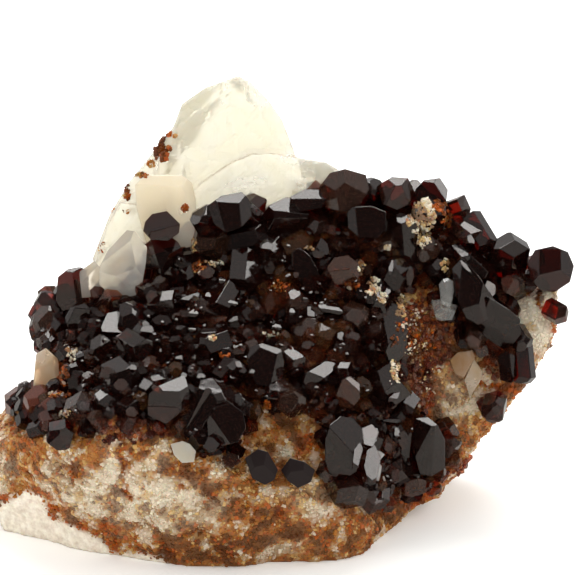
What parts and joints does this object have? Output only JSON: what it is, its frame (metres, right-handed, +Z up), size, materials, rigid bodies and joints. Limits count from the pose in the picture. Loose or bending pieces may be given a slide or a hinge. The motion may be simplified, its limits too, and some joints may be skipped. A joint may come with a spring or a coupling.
{
  "type": "mineral specimen",
  "caption": "Cabinet mineral specimen: a druse of glossy dark brown uvite crystals on a granular ochre and white magnesite block, with pale magnesite rhombs behind its crest.",
  "frame": {"origin": "a point on the flat underside, below the middle of the block", "axes": "+Z up out of the flat underside; +X to the right along the longest extent as the crystal face is viewed; -Y towards the viewer, out of the crystal-covered slope"},
  "size_m": [0.0591, 0.0345, 0.043],
  "materials": {
    "magnesite_rock": "granular, ochre and white",
    "magnesite_crystal": "smooth, milky, partly see-through",
    "clear_crystal": "clear, glossy",
    "uvite": "very glossy, nearly black, red-brown where thin"
  },
  "bodies": {
    "root": {"magnesite_matrix": "magnesite_rock", "magnesite_spur": "magnesite_crystal", "magnesite_crystal_block": "magnesite_crystal", "magnesite_crystal_grey": "magnesite_crystal", "magnesite_crystal_chip": "magnesite_crystal", "magnesite_crystal_left": "magnesite_crystal", "magnesite_rhomb_cream": "magnesite_crystal", "magnesite_rhomb_flank": "magnesite_crystal", "magnesite_rhomb_nose": "magnesite_crystal", "clear_crystal": "clear_crystal", "uvite_druse": "uvite", "uvite_druse_ledge": "uvite", "uvite_crystal_front_left": "uvite", "uvite_crystal_front_right": "uvite", "uvite_crystal_flank_lower": "uvite", "uvite_crystal_tip": "uvite"}
  },
  "joints": []
}
